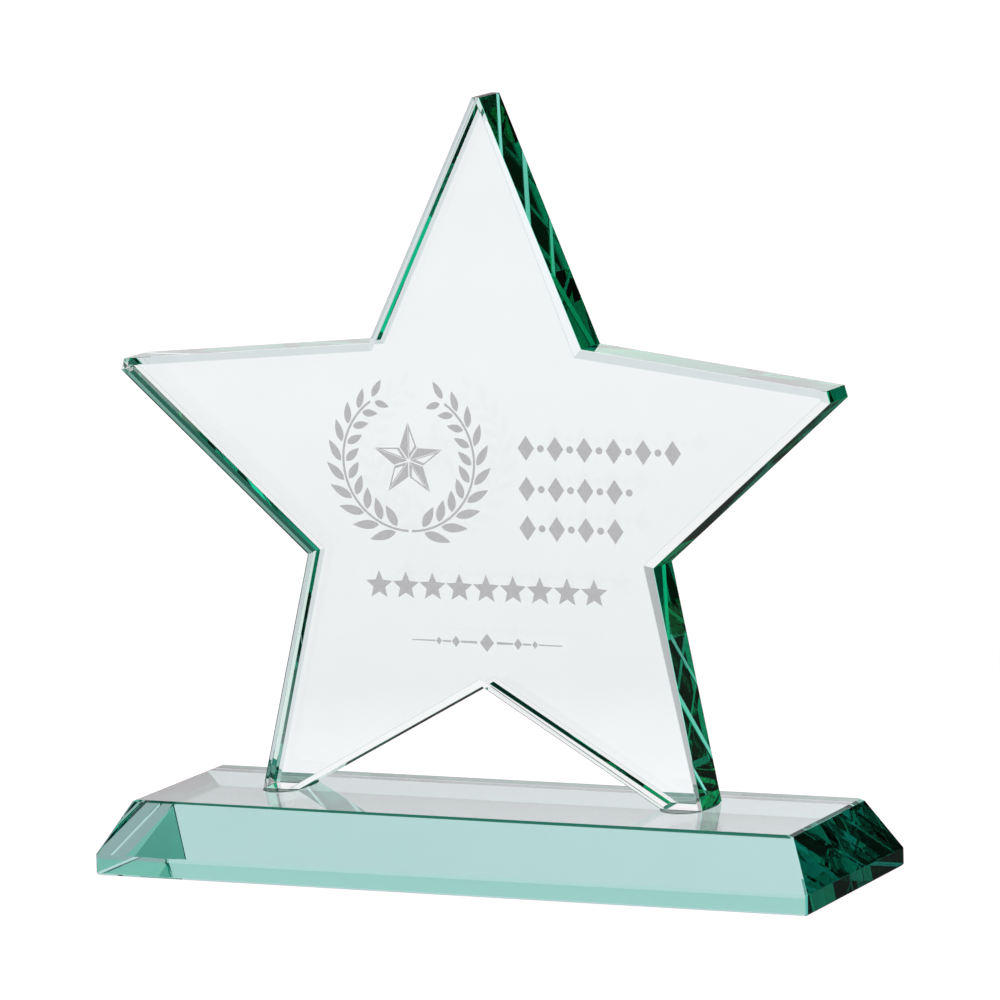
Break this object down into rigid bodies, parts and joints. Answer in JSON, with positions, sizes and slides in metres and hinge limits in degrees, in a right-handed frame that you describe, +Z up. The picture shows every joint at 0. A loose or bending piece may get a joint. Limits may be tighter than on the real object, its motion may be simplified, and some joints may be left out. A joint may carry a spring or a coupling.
{
  "type": "star trophy",
  "caption": "Free-standing award: a bevelled green-tinted glass star with flat-cut feet bonded upright on a long bevelled glass base block.",
  "frame": {"origin": "middle of the base block's underside, on the surface it stands on", "axes": "+X along the base towards the viewer's right, +Y from the engraved face to the back, +Z up"},
  "size_m": [0.2046, 0.072, 0.2038],
  "materials": {
    "jade_glass": "polished",
    "clear_bond": "polished"
  },
  "bodies": {
    "root": {"base_block": "jade_glass", "star_plaque": "jade_glass", "left_foot_bond": "clear_bond", "right_foot_bond": "clear_bond"}
  },
  "joints": []
}
